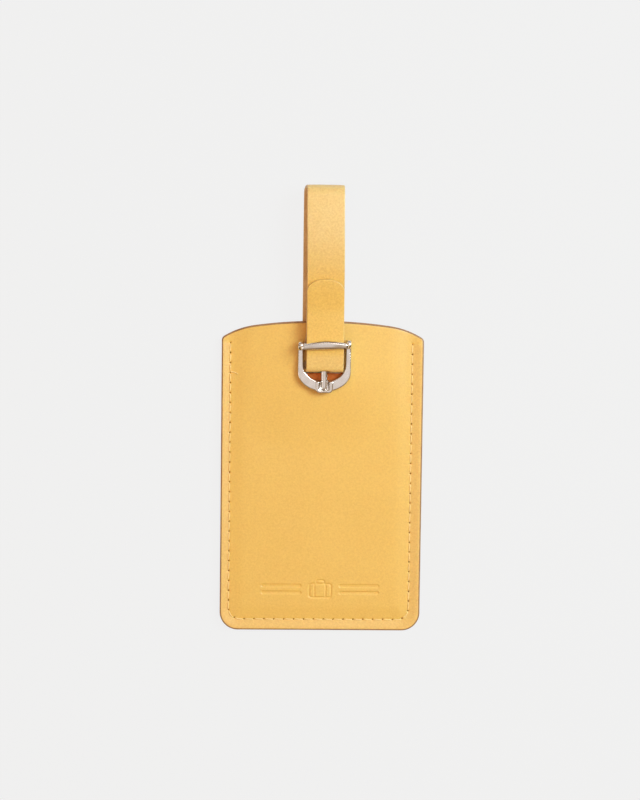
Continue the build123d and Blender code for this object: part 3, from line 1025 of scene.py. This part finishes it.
def make_strap():
    """The band from its folded tail to where it passes under the keeper."""
    path = strap_centre()
    columns = np.tile(strap_columns(), (len(path), 1))
    distance = STRAP_W / 2 - np.abs(columns)
    outer, inner = band_grids(path, columns, distance)
    middle_x = (columns[:-1, :-1] + columns[:-1, 1:]) / 2
    y = ((path[:-1, 0] + path[1:, 0]) / 2)[:, None]
    z = ((path[:-1, 1] + path[1:, 1]) / 2)[:, None]
    from_prong = np.abs(middle_x + layer_shift(y, z) - BUCKLE_SHIFT)
    eye = (from_prong < EYE_HALF) & (np.abs(y - PIN.y) < EYE_REACH) & (z < FRONT_Z + 0.3)
    hole = (from_prong < HOLE_HALF) & (y < FOLD_Y + 2.2) & (z > HOLE_Z[0]) & (z < HOLE_Z[1])
    band = slab("strap_band", outer, inner, ~(eye | hole), [STRAP_GRAIN, STRAP_EDGE, FLESH])
    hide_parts("strap")
    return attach(band, "strap")


def make_free_end():
    """The free tip, from under the keeper. It bends up where the front layer starts to rise."""
    slope = (CREST[1] - FRONT_Z) / (CREST[0] - BEND_Y)
    end = TIP_END - 0.02
    points = [(SPLIT_Y, TIP_Z), (BEND_Y, TIP_Z), (end, TIP_Z + slope * (end - BEND_Y))]
    path = rounded_path(points, [FRONT_BEND_R], 0.3)
    full = TIP_END - TIP_ROUND
    past = np.clip((path[:, 0] - full) / TIP_ROUND, 0, 1)
    half = STRAP_W / 2 * np.sqrt(np.clip(1 - past ** 2, 0.0004, 1))
    share = strap_columns() / (STRAP_W / 2)
    columns = share[None, :] * half[:, None]
    distance = half[:, None] - np.abs(columns)
    round_end = np.sqrt(np.clip(1 - (columns / (STRAP_W / 2)) ** 2, 0, 1)) * TIP_ROUND + full
    distance = np.minimum(distance, np.clip(round_end - path[:, 0][:, None], 0, None))
    outer, inner = band_grids(path, columns, distance, path_length(strap_centre())[-1])
    keep = np.ones((len(path) - 1, columns.shape[1] - 1), bool)
    tip = slab("strap_free_end", outer, inner, keep, [STRAP_GRAIN, STRAP_EDGE, FLESH])
    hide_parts("strap_tip")
    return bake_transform(tip)


def make_tail_stitches():
    """Thread across the folded tail, under the tip."""
    verts, faces = [], []
    half = STRAP_W / 2 - 1.6
    path = np.array([(x, tag_y(1.5)) for x in np.linspace(-half, half, 30)])
    stitch_row(verts, faces, path, FRONT_Z + LEATHER / 2 - 0.12, 1, radius=0.2, dive=0.3)
    stitch_row(verts, faces, path, FRONT_Z - 1.5 * LEATHER + 0.02, -1, radius=0.2, dive=0.3)
    row = add_mesh("tail_thread", verts, faces, [THREAD])
    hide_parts("tail_stitches")
    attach(row, "strap")


# ------------------------------------------------------------------ buckle
BUCKLE_SHIFT = 0.45     # the buckle has slipped this far along its pin
BUCKLE_HALF = (BUCKLE_HIGH.x - BUCKLE_LOW.x) / 2
ARM_IN = BUCKLE_HALF - 1.83
FRAME_Z = (5.0, 6.65)
TOE_TOP = 7.3
BOW_BENDS = (tag_y(-18.0), tag_y(-15.1))    # outer and inner outline turn from straight to curved
BOW_DEPTH = (6.85, 6.3)
KNUCKLE_R = 1.6
KEEPER_IN, KEEPER_OUT = 7.05, 8.6
KEEPER_UNDER = TIP_Z + LEATHER / 2 + LAYER_GAP
KEEPER_TOP = KEEPER_UNDER + 1.75
TOE_HALF, NOTCH_HALF = 3.1, 1.75
TOE_Y = (tag_y(-25.3), tag_y(-21.1))
NOTCH_Y = tag_y(-24.3)
TOE_R, NOTCH_R = 1.5, 0.5
TANG_HALF = 1.12
TANG_DROP = math.radians(2.9)
TANG_EYE_R = 0.77        # the eye's bore and thickness
TANG_EYE_WALL = 0.73
TANG_H = 1.05


def bar_section(width, height, top_r, foot_r, crown=0.0, across=6):
    """A bar's cross-section from inner foot, over the top, to outer foot, as (across, up) pairs."""
    out = []

    def corner(cx, cy, r, start, end):
        for k in range(6):
            t = math.radians(start + (end - start) * k / 5)
            out.append((cx + r * math.cos(t), cy + r * math.sin(t)))

    corner(foot_r, foot_r, foot_r, 270, 180)
    corner(top_r, height - top_r, top_r, 180, 90)
    for k in range(1, across):
        t = k / across
        out.append((top_r + (width - 2 * top_r) * t, height + crown * 4 * t * (1 - t)))
    corner(width - top_r, height - top_r, top_r, 90, 0)
    corner(width - foot_r, foot_r, foot_r, 0, -90)
    return np.array(out)


def station(inner, outer, low, section, width):
    """A ring in the upright plane through an inner and an outer point."""
    inner, outer = np.array(inner), np.array(outer)
    way = (outer - inner) / np.linalg.norm(outer - inner)
    flat = inner[None, :] + way[None, :] * section[:, :1] * (np.linalg.norm(outer - inner) / width)
    return [(p[0], p[1], low + up) for p, up in zip(flat, section[:, 1])]


def mirrored(pairs):
    """The same pairs of points on the right side, in reverse order."""
    return [((-a[0], a[1]), (-b[0], b[1])) for a, b in reversed(pairs)]


def turned(profile, middle, sides):
    """Rings round the pin's axis from (place along it, radius) pairs."""
    turns = np.linspace(0, 2 * math.pi, sides, endpoint=False)
    return [[(middle + x, PIN.y + r * math.cos(t), PIN.z + r * math.sin(t)) for t in turns]
            for x, r in profile]


def bow_pairs():
    """Inner and outer points down the left arm, round the bow and up the right arm."""
    pairs = []
    for k in range(12):
        t = k / 12
        outer = PIN.y + (BOW_BENDS[0] - PIN.y) * t
        inner = PIN.y + (BOW_BENDS[1] - PIN.y) * t
        pairs.append(((-ARM_IN, inner), (-BUCKLE_HALF, outer)))
    for k in range(97):
        t = math.pi + math.pi * k / 96
        inner = (ARM_IN * math.cos(t), BOW_BENDS[1] + BOW_DEPTH[1] * math.sin(t))
        outer = (BUCKLE_HALF * math.cos(t), BOW_BENDS[0] + BOW_DEPTH[0] * math.sin(t))
        pairs.append((inner, outer))
    return pairs + mirrored(pairs[:12])


def add_bow(verts, faces):
    """The D-shaped bow, sunk where the prong rests on it."""
    rings = []
    for inner, outer in bow_pairs():
        width = math.dist(inner, outer)
        x = abs(outer[0])
        sunk = float(smooth(NOTCH_HALF + 0.7, NOTCH_HALF + 0.1, x)) if outer[1] < BOW_BENDS[0] else 0.0
        height = FRAME_Z[1] - FRAME_Z[0] - 1.25 * sunk
        top_r = min(0.4, height * 0.4)
        crown = 0.02 - 0.3 * sunk
        rings.append(station(inner, outer, FRAME_Z[0], bar_section(width, height, top_r, 0.15, crown), width))
    loft(verts, faces, rings)


def add_knuckle(verts, faces, side):
    """Round end of an arm, with a rim round the pin's head."""
    middle = side * (BUCKLE_HALF + ARM_IN) / 2
    half = (BUCKLE_HALF - ARM_IN) / 2 + 0.05
    profile = [(-half, 0.7), (-half, 1.0), (-half + 0.04, 1.25), (-half + 0.18, 1.46), (-half + 0.42, 1.58)]
    profile += [(0, KNUCKLE_R + 0.02)] + [(-x, r) for x, r in reversed(profile)]
    loft(verts, faces, turned(profile, middle, 40))


def keeper_top(x):
    return KEEPER_TOP - 0.5 * float(smooth(2.0, 8.4, abs(x)))


def keeper_pairs():
    """Under and upper points (x, z) of the keeper, seen from its end, from left foot to right foot."""
    turn, inner_turn = 1.25, 0.3    # rounding of the outer and the inner corner
    start = -KEEPER_OUT + turn
    knee = keeper_top(start) - turn
    left = []
    for k in range(6):
        t = k / 6
        inner = (-KEEPER_IN, PIN.z + (KEEPER_UNDER - inner_turn - PIN.z) * t)
        left.append((inner, (-KEEPER_OUT, PIN.z + (knee - PIN.z) * t)))
    for k in range(9):
        t = math.pi - math.pi / 2 * k / 8
        inner = (-KEEPER_IN + inner_turn + inner_turn * math.cos(t),
                 KEEPER_UNDER - inner_turn + inner_turn * math.sin(t))
        left.append((inner, (start + turn * math.cos(t), knee + turn * math.sin(t))))
    half = left + [((x * (KEEPER_IN - inner_turn) / -start, KEEPER_UNDER), (x, keeper_top(x)))
                   for x in np.linspace(start, 0, 24)[1:]]
    return half + mirrored(half[:-1])


KEEPER_SHAPE = (        # its section, as shares of its depth and of its thickness
    (0.06, 0.0), (0.0, 0.08), (0.0, 0.66), (0.02, 0.78), (0.06, 0.86), (0.12, 0.91), (0.3, 0.945),
    (0.5, 0.975), (0.66, 1.0), (0.72, 0.99), (0.84, 0.86), (0.94, 0.70), (0.985, 0.58), (1.0, 0.45),
    (1.0, 0.08), (0.94, 0.0),
)


def add_keeper(verts, faces):
    """Bridge over the strap: a broad front slope, a ridge and a narrow bevel behind it."""
    low, high, end = tag_y(-9.5), tag_y(-6.45), tag_y(-7.9)
    rings = []
    for (ix, iz), (ox, oz) in keeper_pairs():
        reach = min(1.0, abs(ox) / KEEPER_OUT)
        depth = high - (high - end) * reach ** 1.7 - low
        rings.append([(ix + (ox - ix) * t, low + depth * a, iz + (oz - iz) * t) for a, t in KEEPER_SHAPE])
    loft(verts, faces, rings)


def u_path(half, foot, radius):
    """A U-shaped side of the fork, and the length of its straight legs."""
    corners = [(-half, TOE_Y[1]), (-half, foot), (half, foot), (half, TOE_Y[1])]
    path = rounded_path(corners, [radius, radius], 0.1)
    leaves = np.nonzero(np.abs(path[:, 0] - path[0, 0]) >= 1e-6)[0][0]
    return path, float(path_length(path)[leaves - 1])


def add_toe(verts, faces):
    """Fork at the foot of the bow: two posts joined by a rounded base."""
    count, leg_share = 61, 0.32
    height = TOE_TOP - FRAME_Z[0]
    edges = [(half, foot, radius, *u_path(half, foot, radius))
             for half, foot, radius in ((NOTCH_HALF, NOTCH_Y, NOTCH_R), (TOE_HALF, TOE_Y[0], TOE_R))]
    rings = []
    for k in range(count):
        t = k / (count - 1)
        pair = []
        for half, foot, radius, path, leg in edges:
            if t < leg_share or t > 1 - leg_share:
                s = t / leg_share if t < leg_share else (1 - t) / leg_share
                x = -half if t < leg_share else half
                pair.append((x, TOE_Y[1] + (foot + radius - TOE_Y[1]) * s))
            else:
                s = (t - leg_share) / (1 - 2 * leg_share)
                pair.append(tuple(along(path, leg + s * (path_length(path)[-1] - 2 * leg))[0]))
        end = min(t, 1 - t) / 0.05
        tuck = math.sqrt(max(0.0, 1 - (1 - min(end, 1)) ** 2))
        size = 0.25 + 0.75 * tuck
        width = math.dist(*pair) * size
        middle = [(a + b) / 2 for a, b in zip(*pair)]
        inner, outer = (tuple(m + (a - m) * size for a, m in zip(p, middle)) for p in pair)
        top_r, foot_r = min(0.24, width * 0.3), min(0.15, width * 0.2)
        section = bar_section(width, height - 0.5 * (1 - tuck), top_r, foot_r, 0.05)
        rings.append(station(inner, outer, FRAME_Z[0], section, width))
    loft(verts, faces, rings)


def make_buckle():
    """The casting: bow, toe, knuckles and keeper, which is a little askew."""
    verts, faces = [], []
    add_bow(verts, faces)
    add_keeper(verts, faces)
    add_toe(verts, faces)
    for side in (-1, 1):
        add_knuckle(verts, faces, side)
    slope = [0.038 * float(smooth(tag_y(-15.0), tag_y(-11.0), y)) for _, y, _ in verts]
    verts = [(x + BUCKLE_SHIFT, y + k * x, z) for (x, y, z), k in zip(verts, slope)]
    cast = add_mesh("buckle_cast", verts, faces, [METAL])
    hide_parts("buckle_frame")
    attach(cast, "buckle")


def make_pin():
    """Pin with two slightly domed heads."""
    verts, faces = [], []
    half = BUCKLE_HALF
    profile = [(-half - 0.02, 0.2), (-half, 0.45), (-half + 0.08, 0.62), (-half + 0.25, 0.7)]
    profile += [(-x, r) for x, r in reversed(profile)]
    loft(verts, faces, turned(profile, BUCKLE_SHIFT, 24))
    pin = add_mesh("buckle_pin", verts, faces, [METAL])
    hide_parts("pivot_pin")
    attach(pin, "buckle")


def make_tang():
    """Prong: an eye round the pin, a round-topped shank and a flat resting end."""
    verts, faces = [], []
    section = bar_section(2 * TANG_HALF, TANG_EYE_WALL, 0.28, 0.12)
    eye = []
    for t in np.linspace(0, 2 * math.pi, 48, endpoint=False):
        c, d = math.cos(t), math.sin(t)
        eye.append([(p - TANG_HALF, PIN.y + (TANG_EYE_R + r) * c, PIN.z + (TANG_EYE_R + r) * d)
                    for p, r in section])
    loft(verts, faces, eye + [eye[0]], cap=False)
    reach = PIN.y - tag_y(-24.35)
    middle = 0.5 * TANG_H
    rings = []
    for t in np.linspace(0, 1, 44):
        run = 0.9 + (reach - 0.9) * t
        left = reach - run
        tip = math.sqrt(1 - (1 - min(left / 0.7, 1)) ** 2)
        under = PIN.z - 0.55 - math.sin(TANG_DROP) * run
        half = TANG_HALF * (0.55 + 0.45 * tip) * (1 - 0.08 * t)
        section = []
        for s in range(28):
            turn = 2 * math.pi * s / 28
            c, d = math.cos(turn), math.sin(turn)
            x = half * math.copysign(abs(c) ** 0.8, c)
            z = middle + (TANG_H - middle) * abs(d) ** 0.8 if d > 0 else middle * (1 - abs(d) ** 0.35)
            section.append((x, PIN.y - run, under + z * (0.4 + 0.6 * tip)))
        rings.append(section)
    loft(verts, faces, rings)
    verts = [(x + BUCKLE_SHIFT, y, z) for x, y, z in verts]
    prong = add_mesh("buckle_prong", verts, faces, [METAL])
    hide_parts("tang")
    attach(prong, "tang")


# ------------------------------------------------------------------ carried-over CAD nodes
def finish_cad_nodes():
    """Gives the CAD's own film and card their materials."""
    for name, material in (("window_film", film_material()), ("address_card", card_material())):
        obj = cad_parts[name]
        obj.data.materials.clear()
        obj.data.materials.append(material)


# ------------------------------------------------------------------ stage
def area_light(name, spot, size, power, colour, glossy=True, diffuse=True):
    """A rectangular light aimed at the origin. It can be left out of reflections or of diffuse light."""
    data = bpy.data.lights.new(name, "AREA")
    data.shape = "RECTANGLE"
    data.size, data.size_y = size
    data.energy = power
    data.color = colour
    light = bpy.data.objects.new(name, data)
    light.location = spot
    light.rotation_euler = (ORIGIN - Vector(spot)).to_track_quat("-Z", "Y").to_euler()
    light.visible_glossy = glossy
    light.visible_diffuse = diffuse
    bpy.context.scene.collection.objects.link(light)


def make_world():
    """Studio surround: bright overhead, dark at eye level, so that polished metal has contrast."""
    world = bpy.data.worlds.new("studio")
    world.use_nodes = True
    tree = world.node_tree
    way = node(tree, "ShaderNodeTexCoord").outputs["Generated"]
    up = node(tree, "ShaderNodeSeparateXYZ", {"Vector": way}).outputs["Z"]
    stops = [(0.0, (0.75, 0.72, 0.66)), (0.02, (0.07, 0.05, 0.03)), (0.5, (0.15, 0.09, 0.045)),
             (0.78, (0.42, 0.28, 0.15)), (0.93, (0.62, 0.48, 0.34)), (0.96, (1.0, 0.90, 0.83)),
             (1.0, (1.06, 0.97, 0.91))]
    tree.links.new(ramp(tree, up, stops), tree.nodes["Background"].inputs["Color"])
    tree.nodes["Background"].inputs["Strength"].default_value = WORLD_STRENGTH
    bpy.context.scene.world = world


ORIGIN = Vector((0, 0, 0))
WORLD_STRENGTH = 0.72
FLOOR_GLOW = 0.84
CARD_COLOUR = (1.0, 0.95, 0.90)
LIGHTS = (              # name, place and size in metres, power, colour, what it leaves out
    ("key", (0.63, 0.30, 0.71), (0.5, 0.5), 9.8, (0.74, 0.94, 1.0), {}),
    ("warm_fill", (-0.55, -0.15, 0.85), (1.5, 1.5), 6.0, (1.0, 0.59, 0.29), {"glossy": False}),
    ("sheen", (0.30, 0.36, 1.05), (0.4, 0.4), 1.3, (1.0, 0.98, 0.95), {}),
    ("top_card", (0.0, 0.75, 0.60), (1.3, 0.35), 1.2, CARD_COLOUR, {"diffuse": False}),
    ("left_card", (-0.80, -0.25, 0.50), (0.35, 1.1), 1.2, CARD_COLOUR, {"diffuse": False}),
)


def make_stage():
    """A pale glowing floor, the surround and the lights."""
    mesh = bpy.data.meshes.new("floor")
    size = 3.0
    corners = [(a * size, b * size, 0) for a, b in ((-1, -1), (1, -1), (1, 1), (-1, 1))]
    mesh.from_pydata(corners, [], [(0, 1, 2, 3)])
    floor = bpy.data.objects.new("floor", mesh)
    floor.location.z = -0.0002
    bpy.context.scene.collection.objects.link(floor)
    material, _ = new_material("pale_floor", (0.03, 0.03, 0.03), 0.9, Specular_IOR_Level=0.0,
                               Emission_Color=(FLOOR_GLOW, FLOOR_GLOW, FLOOR_GLOW, 1), Emission_Strength=1.0)
    mesh.materials.append(material)
    make_world()
    for name, spot, size, power, colour, left_out in LIGHTS:
        area_light(name, spot, size, power, colour, **left_out)
    bpy.context.scene.view_settings.view_transform = "Standard"


def make_camera():
    """Above the tag, a little to its left and towards its strap."""
    distance, yaw, pitch, roll = 0.75, math.radians(2.0), math.radians(5.5), math.radians(0.73)
    metres_per_unit = 0.000358
    width = 640
    data = bpy.data.cameras.new("camera")
    data.sensor_fit = "HORIZONTAL"
    data.sensor_width = 36.0
    data.lens = data.sensor_width * distance / (metres_per_unit * width)
    data.shift_x, data.shift_y = -2.0 / width, 9.05 / width
    camera = bpy.data.objects.new("camera", data)
    away = Vector((-math.sin(yaw) * math.cos(pitch), math.sin(pitch), math.cos(yaw) * math.cos(pitch)))
    right = (-away).cross(Vector((0, 1, 0))).normalized()
    up = right.cross(-away)
    turned_up = up * math.cos(roll) - right * math.sin(roll)
    turned_right = right * math.cos(roll) + up * math.sin(roll)
    rotation = Matrix((turned_right, turned_up, away)).transposed()
    camera.matrix_world = Matrix.Translation(away * distance) @ rotation.to_4x4()
    bpy.context.scene.collection.objects.link(camera)
    bpy.context.scene.camera = camera


make_camera()
make_stage()
make_face()
make_lining()
make_back()
make_seams()
make_strap()
make_free_end()
make_tail_stitches()
make_buckle()
make_pin()
make_tang()
finish_cad_nodes()
